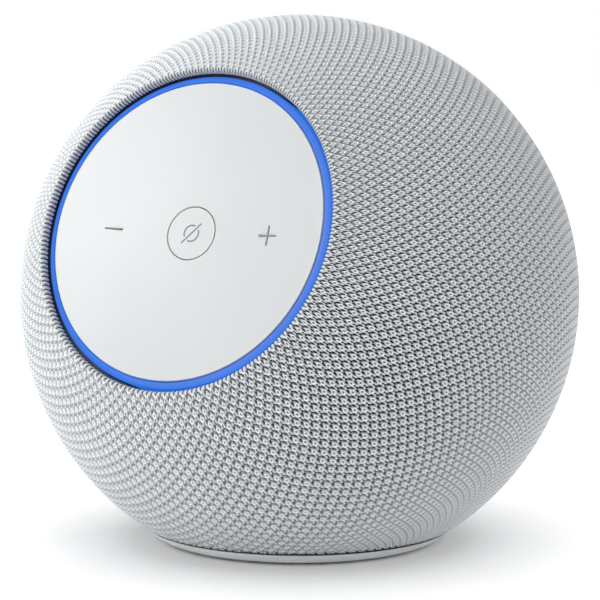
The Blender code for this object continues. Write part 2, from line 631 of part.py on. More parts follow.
def build():
    clear_scene()
    mats = make_materials()
    centre = (0.0, 0.0, BALL_Z)
    panel_axis = empty("panel_axis", centre, 90.0 - PANEL_TILT)
    tweeter_axis = empty("tweeter_axis", centre, 90.0 + TWEETER_DOWN)
    make_fabric_cover(mats, panel_axis)
    make_carrier_shells(mats, panel_axis)
    make_base(mats)
    make_port(mats)
    make_panel(mats, panel_axis)
    make_keys(mats, panel_axis)
    frame = make_ring_and_frame(mats, panel_axis)
    make_control_board(mats, panel_axis, frame)
    spot = (0.0, WOOFER_Y, BALL_Z)
    enclosure, gasket = make_enclosure(mats, spot)
    make_woofer_frame(mats, spot, enclosure, gasket)
    make_woofer_motor(mats, spot)
    make_woofer_moving_parts(mats, spot)
    make_tweeter(mats, tweeter_axis)
    make_tray_and_board(mats)
    make_board_parts(mats)
    make_ribbon_cable(mats)


build()
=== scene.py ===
"""Looks for the smart speaker: a white knit ball with a tilted round control panel.

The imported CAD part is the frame. Lengths are millimetres in the frame's axes until MM turns them
into Blender's metres. Directions on the ball are polar about the panel's axis: the panel is at 0
degrees, and angles round the axis start at +X and go up over the top of the ball.
"""
import math

import bmesh
import bpy
import numpy as np
from mathutils import Matrix, Vector


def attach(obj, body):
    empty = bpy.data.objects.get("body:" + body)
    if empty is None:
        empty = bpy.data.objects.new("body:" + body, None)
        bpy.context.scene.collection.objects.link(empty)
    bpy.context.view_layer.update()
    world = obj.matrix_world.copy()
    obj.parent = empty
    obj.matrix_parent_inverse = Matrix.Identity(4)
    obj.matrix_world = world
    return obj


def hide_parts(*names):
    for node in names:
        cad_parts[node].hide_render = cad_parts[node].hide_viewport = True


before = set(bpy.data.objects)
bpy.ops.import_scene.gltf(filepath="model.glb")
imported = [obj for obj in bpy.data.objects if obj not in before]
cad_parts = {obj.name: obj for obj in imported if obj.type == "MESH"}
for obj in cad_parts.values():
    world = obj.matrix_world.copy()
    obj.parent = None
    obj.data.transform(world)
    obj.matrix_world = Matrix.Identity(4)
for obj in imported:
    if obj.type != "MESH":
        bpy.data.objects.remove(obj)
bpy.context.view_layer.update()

MM = 0.001

# Ball, as in the CAD part
BALL_R = 54.35
BALL_Z = 47.8
CENTRE = Vector((0.0, 0.0, BALL_Z))
PANEL_TILT = math.radians(20.5)

# Control panel and keys: heights (_H) are along the panel's axis from the ball's centre
PANEL_R = 27.8
PANEL_T = 1.4
PANEL_MID_H = 41.8
PANEL_DISH = 0.00297
RING_IN_R = 28.1
RING_OUT_R = 29.22
RING_IN_H = 43.97
RING_OUT_H = 43.43
RING_BOTTOM_H = 37.2
RING_FLANGE_R = 25.6
RING_FLANGE_ROOT_H = 42.2
RING_FLANGE_TOP_H = 41.7
RING_FLANGE_BOTTOM_H = 40.9
MUTE_R = 4.87
MUTE_FLANGE_R = 6.2
MUTE_FLANGE_TOP_H = 39.9
MUTE_FLANGE_BOTTOM_H = 38.9
MUTE_STEM_R = 1.3
STEM_END_H = 37.5
GROOVE = 0.14
SIGN_R = 1.5
SIGN_LINE_W = 0.36
SLASH_LENGTH = 5.14
SLASH_ANGLE = math.radians(47.0)
KEY_X = 16.35
KEY_BAR = 3.7
KEY_BAR_W = 0.27
KEY_PROUD = 0.15
KEY_BAR_FOOT_H = 40.0
KEY_FLANGE_R = 3.2
KEY_FLANGE_TOP_H = 40.4
KEY_FLANGE_BOTTOM_H = 39.5
KEY_STEM_R = 1.2
SLOT_GAP = 0.045
CUTTER_FOOT_H = 38.0
CUTTER_TOP_H = 46.0

# Base
BASE_TOP_R = 30.05
BASE_TOP_Z = 2.5
BASE_MID_R = 29.1
BASE_MID_Z = 1.4
BASE_BOTTOM_R = 27.2
BASE_BOTTOM_Z = 0.5
SPIGOT_R = 21.4
SPIGOT_Z = 6.0
SPIGOT_WALL = 1.6
CAP_FLOOR_Z = 4.0
FOOT_R = 25.2
FOOT_T = 1.2
FOOT_RECESS_Z = 1.5
FOOT_GAP = 0.4

# Power port at the lower back
PORT_Z = 18.4
PORT_HALF_W = 7.5
PORT_HALF_H = 6.5
PORT_CORNER = 3.4

# Knit: wales run away from the panel, and rows run round its axis. Angles are in degrees
WALES = 128
WALES_PER_DEGREE = 0.3545
MORE_ON_TOP = 0.0741
MORE_AT_RIGHT = 0.0377
ROW_STEP = 1.32
ROW_CROWDING = 0.0026
BEND_START = 64.0
BEND_FULL = 104.0
BEND_AT_160 = 57.0
KNIT_FIRST = 34.6
KNIT_LAST = 168.0
STEPS_PER_WALE = 16
STEPS_PER_ROW = 8
KNIT_DEPTH = 1.0
THREAD_RISE = 0.12

# The cloth's edges: at the panel it starts at KNIT_FIRST, and at the base it ends at HEM_ANGLE
# from straight down. A gap's width is a share of a strand's, and its depth a share of the knit's
HEM_ANGLE = 34.2
HEM_ROLL = 0.45
PANEL_ROLL = 0.7
HEM_TUCK = 2.4
HEM_GAP_W = 0.17
HEM_GAP_DEPTH = 0.6

# The holes are deepest, and their painted shade darkest, round one spot on the ball, and shallower
# and lighter away from it
WIDEST_AZ = math.radians(42.0)
WIDEST_EL = math.radians(-20.0)
OPEN_SPREAD = 40.0
OPEN_LEAST = 0.55
OPEN_MORE = 0.45

# Camera, and the room's light on the part as a share of pure white
CAMERA_AZ = math.radians(29.78)
CAMERA_EL = math.radians(6.06)
CAMERA_AWAY = 8.0 * BALL_R
CAMERA_LENS = 133.34
ROOM_LIGHT = 0.155

AXIS_X = np.array([1.0, 0.0, 0.0])
AXIS_Y = np.array([0.0, math.sin(PANEL_TILT), math.cos(PANEL_TILT)])
AXIS_N = np.array([0.0, -math.cos(PANEL_TILT), math.sin(PANEL_TILT)])
PANEL_MATRIX = Matrix.Translation(CENTRE) @ Matrix.Rotation(math.pi / 2 - PANEL_TILT, 4, "X")


def towards(azimuth, elevation):
    """Direction from the part of something at azimuth, from -Y round to +X, and elevation."""
    level = math.cos(elevation)
    return math.sin(azimuth) * level, -math.cos(azimuth) * level, math.sin(elevation)


# ---------------------------------------------------------------- node helpers

class Nodes:
    """Short names for building one material's node tree."""

    def __init__(self, name):
        self.material = bpy.data.materials.new(name)
        self.material.use_nodes = True
        self.tree = self.material.node_tree
        self.shader = self.tree.nodes["Principled BSDF"]

    def add(self, kind, **settings):
        node = self.tree.nodes.new(kind)
        for key, value in settings.items():
            setattr(node, key, value)
        return node

    def link(self, source, target):
        self.tree.links.new(source, target)

    def set(self, name, value):
        self.shader.inputs[name].default_value = value

    def drive(self, name, source):
        self.link(source, self.shader.inputs[name])

    def math(self, operation, first, second):
        node = self.add("ShaderNodeMath", operation=operation)
        for socket, value in zip(node.inputs, (first, second)):
            if isinstance(value, float):
                socket.default_value = value
            else:
                self.link(value, socket)
        return node.outputs[0]

    def coordinates(self):
        return self.add("ShaderNodeTexCoord").outputs["Object"]

    def noise(self, scale, detail=3.0, roughness=0.5, stretch=None):
        node = self.add("ShaderNodeTexNoise")
        node.inputs["Scale"].default_value = scale
        node.inputs["Detail"].default_value = detail
        node.inputs["Roughness"].default_value = roughness
        vector = self.coordinates()
        if stretch:
            mapping = self.add("ShaderNodeMapping")
            mapping.inputs["Scale"].default_value = stretch
            self.link(vector, mapping.inputs["Vector"])
            vector = mapping.outputs[0]
        self.link(vector, node.inputs["Vector"])
        return node.outputs["Fac"]

    def span(self, source, low, high):
        node = self.add("ShaderNodeMapRange")
        self.link(source, node.inputs["Value"])
        node.inputs["To Min"].default_value = low
        node.inputs["To Max"].default_value = high
        return node.outputs[0]

    def ramp(self, source, *stops):
        node = self.add("ShaderNodeValToRGB")
        elements = node.color_ramp.elements
        while len(elements) < len(stops):
            elements.new(0.5)
        for element, (place, color) in zip(elements, stops):
            element.position = place
            element.color = (*color, 1.0)
        self.link(source, node.inputs[0])
        return node.outputs["Color"]

    def bump(self, source, strength, distance):
        node = self.add("ShaderNodeBump")
        node.inputs["Strength"].default_value = strength
        node.inputs["Distance"].default_value = distance
        self.link(source, node.inputs["Height"])
        self.drive("Normal", node.outputs[0])


# ---------------------------------------------------------------- materials

def moulded(name, dark, light, roughness):
    """Moulded plastic: a fine spark-eroded grain and a faint cloudiness."""
    nodes = Nodes(name)
    cloud = nodes.noise(60.0, 2.0)
    nodes.drive("Base Color", nodes.ramp(cloud, (0.3, dark), (0.7, light)))
    fine = nodes.noise(9000.0, 2.0)
    nodes.drive("Roughness", nodes.span(fine, roughness - 0.05, roughness + 0.07))
    nodes.bump(fine, 0.12, 0.00002)
    return nodes.material


def knit_material():
    """Matt melange yarn with painted light: lighter on the raised threads, duller between, and
    painted shade in the holes.
    """
    nodes = Nodes("knit")
    hole = nodes.add("ShaderNodeAttribute", attribute_name="hole").outputs["Fac"]
    thread = nodes.add("ShaderNodeAttribute", attribute_name="thread").outputs["Fac"]
    fibres = nodes.noise(9000.0, 3.0, 0.6)
    # Painted highlight: the raised threads are made lighter, and the fibres add their real speckle.
    raised = nodes.math("MULTIPLY", thread, 0.75)
    thread_highlight_and_fibres = nodes.math("ADD", raised, nodes.math("MULTIPLY", fibres, 0.35))
    yarn = nodes.ramp(thread_highlight_and_fibres, (0.1, (0.445, 0.465, 0.485)), (0.9, (0.89, 0.915, 0.935)))
    # Painted shade: the yarn darkens towards the holes and is nearly black in their depths.
    edge_shade = (0.30, 0.305, 0.31)
    hole_shade = (0.03, 0.03, 0.033)
    dark = nodes.ramp(hole, (0.2, (1.0, 1.0, 1.0)), (0.6, edge_shade), (0.9, hole_shade))
    mix = nodes.add("ShaderNodeMix", data_type="RGBA", blend_type="MULTIPLY")
    mix.inputs["Factor"].default_value = 1.0
    nodes.link(yarn, mix.inputs["A"])
    nodes.link(dark, mix.inputs["B"])
    nodes.drive("Base Color", mix.outputs["Result"])
    nodes.drive("Roughness", nodes.span(fibres, 0.78, 0.95))
    nodes.set("Specular IOR Level", 0.2)
    nodes.bump(fibres, 0.35, 0.00006)
    return nodes.material


def light_ring_material():
    """The lit diffuser: even blue, a little uneven between its lights."""
    nodes = Nodes("lit_diffuser")
    cloud = nodes.noise(35.0, 1.0)
    resin = nodes.ramp(cloud, (0.3, (0.008, 0.03, 0.12)), (0.7, (0.01, 0.035, 0.14)))
    glow = nodes.ramp(cloud, (0.3, (0.015, 0.125, 0.58)), (0.7, (0.018, 0.135, 0.61)))
    nodes.drive("Base Color", resin)
    nodes.drive("Emission Color", glow)
    nodes.set("Emission Strength", 1.0)
    nodes.drive("Roughness", nodes.span(nodes.noise(5000.0, 2.0), 0.35, 0.5))
    return nodes.material


def metal(name, color, roughness, stretch=(1.0, 1.0, 40.0)):
    """Metal with fine drawn lines."""
    nodes = Nodes(name)
    lines = nodes.noise(900.0, 3.0, 0.6, stretch)
    darker = tuple(0.82 * c for c in color)
    nodes.drive("Base Color", nodes.ramp(lines, (0.3, darker), (0.7, color)))
    nodes.drive("Roughness", nodes.span(lines, roughness - 0.08, roughness + 0.1))
    nodes.set("Metallic", 1.0)
    nodes.bump(lines, 0.1, 0.00002)
    return nodes.material


def fibrous(name, dark, light, roughness, scale=1500.0):
    """Felted or powdery stuff: paper, ferrite, rubber."""
    nodes = Nodes(name)
    fibre = nodes.noise(scale, 5.0, 0.65)
    nodes.drive("Base Color", nodes.ramp(fibre, (0.3, dark), (0.7, light)))
    nodes.drive("Roughness", nodes.span(fibre, roughness - 0.08, roughness + 0.08))
    nodes.bump(fibre, 0.25, 0.00005)
    return nodes.material


def woven(name, dark, light, roughness, pitch):
    """Plain woven cloth with threads along X and Y."""
    nodes = Nodes(name)
    waves = []
    for direction in ("X", "Y"):
        wave = nodes.add("ShaderNodeTexWave", bands_direction=direction)
        wave.inputs["Scale"].default_value = 1.0 / pitch
        nodes.link(nodes.coordinates(), wave.inputs["Vector"])
        waves.append(wave.outputs["Fac"])
    weave = nodes.math("MULTIPLY", *waves)
    nodes.drive("Base Color", nodes.ramp(weave, (0.05, dark), (0.6, light)))
    nodes.drive("Roughness", nodes.span(nodes.noise(3000.0), roughness - 0.05, roughness + 0.05))
    nodes.bump(weave, 0.5, 0.0001)
    return nodes.material


def circuit_material():
    """Green solder mask over copper tracks."""
    nodes = Nodes("solder_mask")
    brick = nodes.add("ShaderNodeTexBrick")
    brick.inputs["Scale"].default_value = 420.0
    brick.inputs["Mortar Size"].default_value = 0.09
    brick.inputs["Color1"].default_value = (0.012, 0.085, 0.035, 1.0)
    brick.inputs["Color2"].default_value = (0.016, 0.10, 0.042, 1.0)
    brick.inputs["Mortar"].default_value = (0.03, 0.17, 0.075, 1.0)
    nodes.link(nodes.coordinates(), brick.inputs["Vector"])
    nodes.drive("Base Color", brick.outputs["Color"])
    nodes.drive("Roughness", nodes.span(nodes.noise(800.0), 0.28, 0.42))
    nodes.bump(brick.outputs["Fac"], 0.2, 0.00003)
    return nodes.material


def make_materials():
    """One material for each finish of the CAD nodes, and one for the printed sign."""
    return {
        "knit_fabric": knit_material(),
        "panel_plastic": moulded(
            "satin_white_plastic", (0.45, 0.465, 0.47), (0.465, 0.48, 0.485), 0.38),
        "key_plastic": moulded("key_plastic_grain", (0.13, 0.13, 0.14), (0.16, 0.16, 0.17), 0.3),
        "base_plastic": moulded(
            "matt_white_plastic", (0.78, 0.795, 0.80), (0.82, 0.835, 0.84), 0.45),
        "inner_plastic": moulded("dark_moulding", (0.045, 0.045, 0.05), (0.065, 0.065, 0.07), 0.6),
        "black_plastic": moulded("black_moulding", (0.012, 0.012, 0.013), (0.02, 0.02, 0.021), 0.5),
        "light_guide": light_ring_material(),
        "rubber": fibrous("rubber_grain", (0.055, 0.055, 0.058), (0.08, 0.08, 0.083), 0.85, 4000.0),
        "circuit_board": circuit_material(),
        "steel": metal("drawn_steel", (0.58, 0.58, 0.60), 0.32),
        "painted_steel": moulded(
            "black_painted_steel", (0.03, 0.03, 0.032), (0.045, 0.045, 0.048), 0.4),
        "ferrite": fibrous("sintered_ferrite", (0.03, 0.03, 0.032), (0.06, 0.058, 0.06), 0.7),
        "cone_paper": fibrous(
            "pressed_paper", (0.035, 0.035, 0.038), (0.075, 0.075, 0.078), 0.85, 1800.0),
        "copper": metal("copper_wire", (0.80, 0.40, 0.20), 0.3, (1.0, 1.0, 6.0)),
        "spider_cloth": woven("spider_weave", (0.25, 0.15, 0.04), (0.60, 0.42, 0.16), 0.9, 0.0005),
        "dome_silk": woven("silk_weave", (0.012, 0.012, 0.012), (0.04, 0.04, 0.042), 0.6, 0.0002),
        "aluminium": metal("brushed_aluminium", (0.78, 0.79, 0.80), 0.34, (30.0, 1.0, 1.0)),
        "led_body": fibrous("led_resin", (0.70, 0.66, 0.40), (0.82, 0.80, 0.55), 0.4),
        "cable_film": moulded("polyester_film", (0.72, 0.73, 0.74), (0.62, 0.64, 0.65), 0.3),
        "sign_grey": moulded("printed_grey", (0.11, 0.11, 0.125), (0.14, 0.14, 0.155), 0.5),
    }


def finish_cad_nodes(materials):
    """Give every node of the frame the full material of its slot."""
    for name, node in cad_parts.items():
        for slot in node.material_slots:
            kind = slot.material.name.split(".")[0]
            if kind not in materials:
                raise ValueError("node %s has an unknown finish %s" % (name, kind))
            slot.material = materials[kind]


# ---------------------------------------------------------------- mesh helpers

def add_mesh(name, points, faces, material):
    """A new object from points in millimetres and faces, either lists or arrays of quads."""
    mesh = bpy.data.meshes.new(name)
    if isinstance(faces, np.ndarray):
        mesh.vertices.add(len(points))
        mesh.vertices.foreach_set("co", (points * MM).astype(np.float32).ravel())
        mesh.loops.add(faces.size)
        mesh.loops.foreach_set("vertex_index", faces.astype(np.int32).ravel())
        mesh.polygons.add(len(faces))
        mesh.polygons.foreach_set("loop_start", np.arange(0, faces.size, 4, dtype=np.int32))
        mesh.update(calc_edges=True)
    else:
        mesh.from_pydata([Vector(p) * MM for p in points], [], faces)
        mesh.update()
    mesh.shade_smooth()
    mesh.materials.append(material)
    obj = bpy.data.objects.new(name, mesh)
    bpy.context.scene.collection.objects.link(obj)
    return obj


def softened(profile, closed=True):
    """Round the corners of a profile. Each point is (radius, height, rounding)."""
    steps = 4
    count = len(profile)
    points = []
    for i, (r, h, rounding) in enumerate(profile):
        here = Vector((r, h))
        at_end = not closed and i in (0, count - 1)
        if rounding <= 0.0 or at_end:
            points.append(tuple(here))
            continue
        before = Vector(profile[i - 1][:2]) - here
        after = Vector(profile[(i + 1) % count][:2]) - here
        start = here + before.normalized() * min(rounding, before.length * 0.5)
        end = here + after.normalized() * min(rounding, after.length * 0.5)
        for k in range(steps + 1):
            t = k / steps
            points.append(tuple(start * (1 - t) ** 2 + here * 2 * t * (1 - t) + end * t * t))
    return points


def turned(name, profile, material, matrix, segments):
    """A solid of revolution about Z from a closed profile of (radius, height)."""
    bm = bmesh.new()
    rings = []
    for radius, height in profile:
        count = 1 if radius < 1e-6 else segments
        ring = []
        for k in range(count):
            angle = 2.0 * math.pi * k / segments
            ring.append(bm.verts.new((radius * math.cos(angle), radius * math.sin(angle), height)))
        rings.append(ring)
    for lower, upper in zip(rings, rings[1:] + rings[:1]):
        if len(lower) == 1 and len(upper) == 1:
            continue
        for k in range(segments):
            n = (k + 1) % segments
            corners = [lower[k % len(lower)], upper[k % len(upper)]]
            corners += [upper[n % len(upper)], lower[n % len(lower)]]
            bm.faces.new(list(dict.fromkeys(corners)))
    return from_bmesh(name, bm, material, matrix)


def from_bmesh(name, bm, material, matrix, sharp=35.0):
    """Place a bmesh drawn in millimetres and make it an object in metres."""
    bmesh.ops.recalc_face_normals(bm, faces=bm.faces)
    if matrix:
        bmesh.ops.transform(bm, matrix=matrix, verts=bm.verts)
    bmesh.ops.scale(bm, vec=(MM, MM, MM), verts=bm.verts)
    mesh = bpy.data.meshes.new(name)
    bm.to_mesh(mesh)
    bm.free()
    mesh.shade_smooth()
    mesh.set_sharp_from_angle(angle=math.radians(sharp))
    if material:
        mesh.materials.append(material)
    obj = bpy.data.objects.new(name, mesh)
    bpy.context.scene.collection.objects.link(obj)
    return obj


def prism(name, outline, z0, z1, material, matrix):
    """A block with the given flat outline, from z0 to z1 along the matrix's Z."""
    bm = bmesh.new()
    face = bm.faces.new([bm.verts.new((x, y, z0)) for x, y in outline])
    grown = bmesh.ops.extrude_face_region(bm, geom=[face])
    top = [v for v in grown["geom"] if isinstance(v, bmesh.types.BMVert)]
    bmesh.ops.translate(bm, vec=(0.0, 0.0, z1 - z0), verts=top)
    return from_bmesh(name, bm, material, matrix)


def apply_modifiers(obj):
    """Put what the modifiers make of the mesh in its place."""
    evaluated = obj.evaluated_get(bpy.context.evaluated_depsgraph_get())
    mesh = bpy.data.meshes.new_from_object(evaluated)
    obj.modifiers.clear()
    old = obj.data
    obj.data = mesh
    bpy.data.meshes.remove(old)


def cut_out(obj, cutters):
    """Take the cutters out of obj, and remove them."""
    for cutter in cutters:
        modifier = obj.modifiers.new(cutter.name, "BOOLEAN")
        modifier.operation = "DIFFERENCE"
        modifier.solver = "EXACT"
        modifier.object = cutter
    apply_modifiers(obj)
    for cutter in cutters:
        bpy.data.objects.remove(cutter, do_unlink=True)


# ---------------------------------------------------------------- knit cover

def smoothstep(value, low, high):
    """A smooth ramp from 0 at low to 1 at high."""
    t = np.clip((value - low) / (high - low), 0.0, 1.0)
    return t * t * (3.0 - 2.0 * t)


def knit_bend(psi):
    """How far, in degrees, a row behind the panel leans down towards the base."""
    angles = np.linspace(0.0, 180.0, 721)
    slope = smoothstep(angles, BEND_START, BEND_FULL)
    lean = np.cumsum(slope) * (angles[1] - angles[0])
    lean *= BEND_AT_160 / np.interp(160.0, angles, lean)
    return np.interp(psi, angles, lean)


def running_count(density, angles):
    """How many wales or rows lie before each angle."""
    return np.concatenate([[0.0], np.cumsum((density[1:] + density[:-1]) / 2 * np.diff(angles))])


def wale_angle(wale):
    """Angle round the panel's axis of a wale, in degrees. Wales lie closer on top of the ball."""
    phi = np.linspace(-90.0, 270.0, 1441)
    density = WALES_PER_DEGREE + MORE_ON_TOP * np.sin(np.radians(phi))
    density = density + MORE_AT_RIGHT * np.cos(np.radians(phi))
    count = running_count(density, phi)
    return np.interp(wale, count * WALES / count[-1], phi)


def row_angle(row):
    """Angle from the panel's axis of a row, in degrees. Rows lie closer further from the panel."""
    psi = np.linspace(20.0, 180.0, 641)
    density = (1.0 + ROW_CROWDING * np.clip(psi - 65.0, -20.0, 30.0)) / ROW_STEP
    count = running_count(density, psi)
    count -= np.interp(KNIT_FIRST, psi, count)
    return np.interp(row, count, psi)


def spot(u, v, across, down, width, height, lean=0.0):
    """A soft spot in each cell of the knit, whose cells are offset by half in every other row."""
    total = 0.0
    for half in (0.0, 0.5):
        x = (u - across - half + 0.5) % 1.0 - 0.5
        y = (v - down - half + 0.5) % 1.0 - 0.5
        x = x - lean * y
        total = total + np.exp(-(((x / width) ** 2 + (y / height) ** 2) ** 1.5))
    return total


def loop_ring(u, v, down, half_width, half_height, thickness):
    """A soft oval ring in each cell of the knit."""
    total = 0.0
    for half in (0.0, 0.5):
        x = (u - half + 0.5) % 1.0 - 0.5
        y = (v - down - half + 0.5) % 1.0 - 0.5
        away = np.sqrt((x / half_width) ** 2 + (y / half_height) ** 2) - 1.0
        total = total + np.exp(-((away * half_width / thickness) ** 2))
    return total


def knit_pattern(u, v):
    """Depth of the holes and height of the threads, from 0 to 1.

    u counts wales and v counts pairs of rows. Each wale is a chain of upright loops; the chains
    leave tall holes between them, and smaller ones inside and between their loops.
    """
    legs = spot(u, v, -0.21, 0.17, 0.085, 0.155, -0.15) + spot(u, v, 0.205, 0.18, 0.085, 0.16, 0.3)
    apex = spot(u, v, 0.0, -0.01, 0.075, 0.095)
    dot = spot(u, v, 0.0, 0.765, 0.065, 0.075)
    eye = spot(u, v, 0.0, 0.42, 0.055, 0.09)
    ring = loop_ring(u, v, 0.42, 0.125, 0.16, 0.045)
    strands = spot(u, v, -0.125, 0.79, 0.04, 0.15) + spot(u, v, 0.125, 0.79, 0.04, 0.15)
    threads = np.clip(ring + 1.1 * strands, 0.0, 1.0)
    holes = np.clip(1.4 * legs + 1.5 * apex + 1.4 * dot + 1.0 * eye, 0.0, 1.0)
    return holes, threads


def hole_depth_and_shade_share(directions):
    """Share of the holes' depth and of their painted shade: most round one spot beside the panel,
    least at the back.
    """
    widest = np.array(towards(WIDEST_AZ, WIDEST_EL))
    away = np.degrees(np.arccos(np.clip(directions @ widest, -1.0, 1.0)))
    return OPEN_LEAST + OPEN_MORE * np.exp(-((away / OPEN_SPREAD) ** 2))


def rolled(points, normals, past, edge, tangent, edge_normal, roll):
    """Roll the cloth in at an edge. past is how far, in millimetres, a point lies beyond it.

    roll is the radius of the roll and the angle that it turns through.
    """
    radius, turn = roll
    inside = past > 0.0
    angle = np.minimum(past / radius, turn)
    straight = np.maximum(past - radius * turn, 0.0)
    sine, cosine = np.sin(angle)[..., None], np.cos(angle)[..., None]
    moved = edge + radius * (sine * tangent + (cosine - 1.0) * edge_normal)
    moved = moved + straight[..., None] * (cosine * tangent - sine * edge_normal)
    points = np.where(inside[..., None], moved, points)
    normals = np.where(inside[..., None], sine * tangent + cosine * edge_normal, normals)
    return points, normals


def round_hole(points, normals, directions, axis, angle, radius):
    """Roll the cloth in at a round opening about an axis of the ball."""
    roll = (radius, math.pi / 2 + angle)
    along = directions @ axis
    polar = np.arccos(np.clip(along, -1.0, 1.0))
    sideways = directions - along[..., None] * axis
    sideways /= np.maximum(np.linalg.norm(sideways, axis=-1, keepdims=True), 1e-9)
    edge_normal = math.sin(angle) * sideways + math.cos(angle) * axis
    tangent = -math.cos(angle) * sideways + math.sin(angle) * axis
    past = BALL_R * (angle - polar)
    edge = BALL_R * edge_normal
    points, normals = rolled(points, normals, past, edge, tangent, edge_normal, roll)
    return points, normals, past


def port_hole(points, normals, directions):
    """Roll the cloth in round the power port's rounded outline."""
    half_w = PORT_HALF_W + HEM_ROLL
    half_h = PORT_HALF_H + HEM_ROLL
    x = directions[..., 0] * BALL_R
    z = directions[..., 2] * BALL_R + BALL_Z - PORT_Z
    past_side = np.abs(x) - (half_w - PORT_CORNER)
    past_top = np.abs(z) - (half_h - PORT_CORNER)
    away_x = np.maximum(past_side, 0.0)
    away_z = np.maximum(past_top, 0.0)
    reach = np.hypot(away_x, away_z)
    inner = np.minimum(np.maximum(past_side, past_top), 0.0)
    distance = reach + inner - PORT_CORNER
    flat = reach < 1e-6
    sideways = np.abs(x) - half_w > np.abs(z) - half_h
    out_x = np.where(flat, sideways * 1.0, away_x / np.maximum(reach, 1e-6)) * np.sign(x)
    out_z = np.where(flat, ~sideways * 1.0, away_z / np.maximum(reach, 1e-6)) * np.sign(z)
    past = np.where(directions[..., 1] > 0.0, -distance, -99.0)
    edge_x = x - distance * out_x
    edge_z = z - distance * out_z + PORT_Z - BALL_Z
    edge_y = np.sqrt(np.maximum(BALL_R ** 2 - edge_x ** 2 - edge_z ** 2, 1.0))
    edge = np.stack([edge_x, edge_y, edge_z], -1)
    edge_normal = edge / BALL_R
    tangent = np.stack([-out_x, np.zeros_like(x), -out_z], -1)
    tangent -= (tangent * edge_normal).sum(-1, keepdims=True) * edge_normal
    tangent /= np.maximum(np.linalg.norm(tangent, axis=-1, keepdims=True), 1e-9)
    roll = (HEM_ROLL, math.pi / 2)
    points, normals = rolled(points, normals, past, edge, tangent, edge_normal, roll)
    return points, normals, past


def knit_grid():
    """Wale, row and direction from the ball's centre of every point of the sheet."""
    first_row = -math.ceil(HEM_TUCK / BALL_R * 180.0 / math.pi / ROW_STEP) - 1
    last_row = math.floor((KNIT_LAST - KNIT_FIRST) / ROW_STEP)
    wales = np.arange(WALES * STEPS_PER_WALE) / STEPS_PER_WALE
    rows = np.arange(first_row * STEPS_PER_ROW, last_row * STEPS_PER_ROW + 1) / STEPS_PER_ROW
    u, v = np.meshgrid(wales, rows)
    phi = np.radians(wale_angle(u))
    psi = np.radians(row_angle(v))
    round_axis = np.cos(phi)[..., None] * AXIS_X + np.sin(phi)[..., None] * AXIS_Y
    directions = np.cos(psi)[..., None] * AXIS_N + np.sin(psi)[..., None] * round_axis
    lean = -np.radians(knit_bend(np.degrees(psi)))
    y = directions[..., 1] * np.cos(lean) - directions[..., 2] * np.sin(lean)
    z = directions[..., 1] * np.sin(lean) + directions[..., 2] * np.cos(lean)
    return u, v, np.stack([directions[..., 0], y, z], -1)


def knit_relief(u, v, directions, past_panel, past_hem):
    """Painted hole shade, threads and the depth of the relief, each from 0 to 1.

    Where the cloth is tucked in at the panel only its strands show, with painted shade in the
    grooves between them, and at the base gaps stand between them, sunk and given painted shade.
    """
    holes, threads = knit_pattern(u, v / 2.0)
    # This share scales the pits' depth and the painted shade in the holes.
    stretch = hole_depth_and_shade_share(directions)
    depth = ((1.0 - THREAD_RISE) * holes + THREAD_RISE * (1.0 - threads)) * stretch
    # Where tucked in at the panel, the grooves between strands are sunk and given painted shade.
    tucked = smoothstep(past_panel, 0.1, 0.4)
    strands = 0.5 + 0.5 * np.cos(4.0 * math.pi * u)
    holes = holes * stretch * (1.0 - tucked) + 0.8 * strands * tucked
    depth = depth * (1.0 - tucked) + 0.2 * strands * tucked
    # At the hem, the gaps between strands are sunk and given painted shade.
    across_gap = (2.0 * u + 0.5) % 1.0 - 0.5
    gaps = np.exp(-((across_gap / HEM_GAP_W) ** 2)) * smoothstep(past_hem, -0.9, -0.5)
    return np.maximum(holes, gaps), threads, np.maximum(depth, HEM_GAP_DEPTH * gaps)


def grid_quads(shape, keep):
    """The quads of a grid that closes on itself across, where keep is true at all four corners."""
    index = np.arange(shape[0] * shape[1]).reshape(shape)
    after = np.roll(index, -1, axis=1)
    quads = np.stack([index[:-1], index[1:], after[1:], after[:-1]], -1).reshape(-1, 4)
    return quads[keep.ravel()[quads].all(axis=1)]


def add_bake_map(cover, corners, shape):
    """A UV map from each corner's place in the grid, whose last column joins the first."""
    count_v, count_u = shape
    across = (corners % count_u) / count_u
    wraps = (across < 0.25) & (across.max(axis=1, keepdims=True) > 0.75)
    across = np.where(wraps, across + 1.0, across)
    along = (corners // count_u) / (count_v - 1)
    layer = cover.data.uv_layers.new(name="OFBake")
    layer.data.foreach_set("uv", np.stack([across, along], -1).astype(np.float32).ravel())


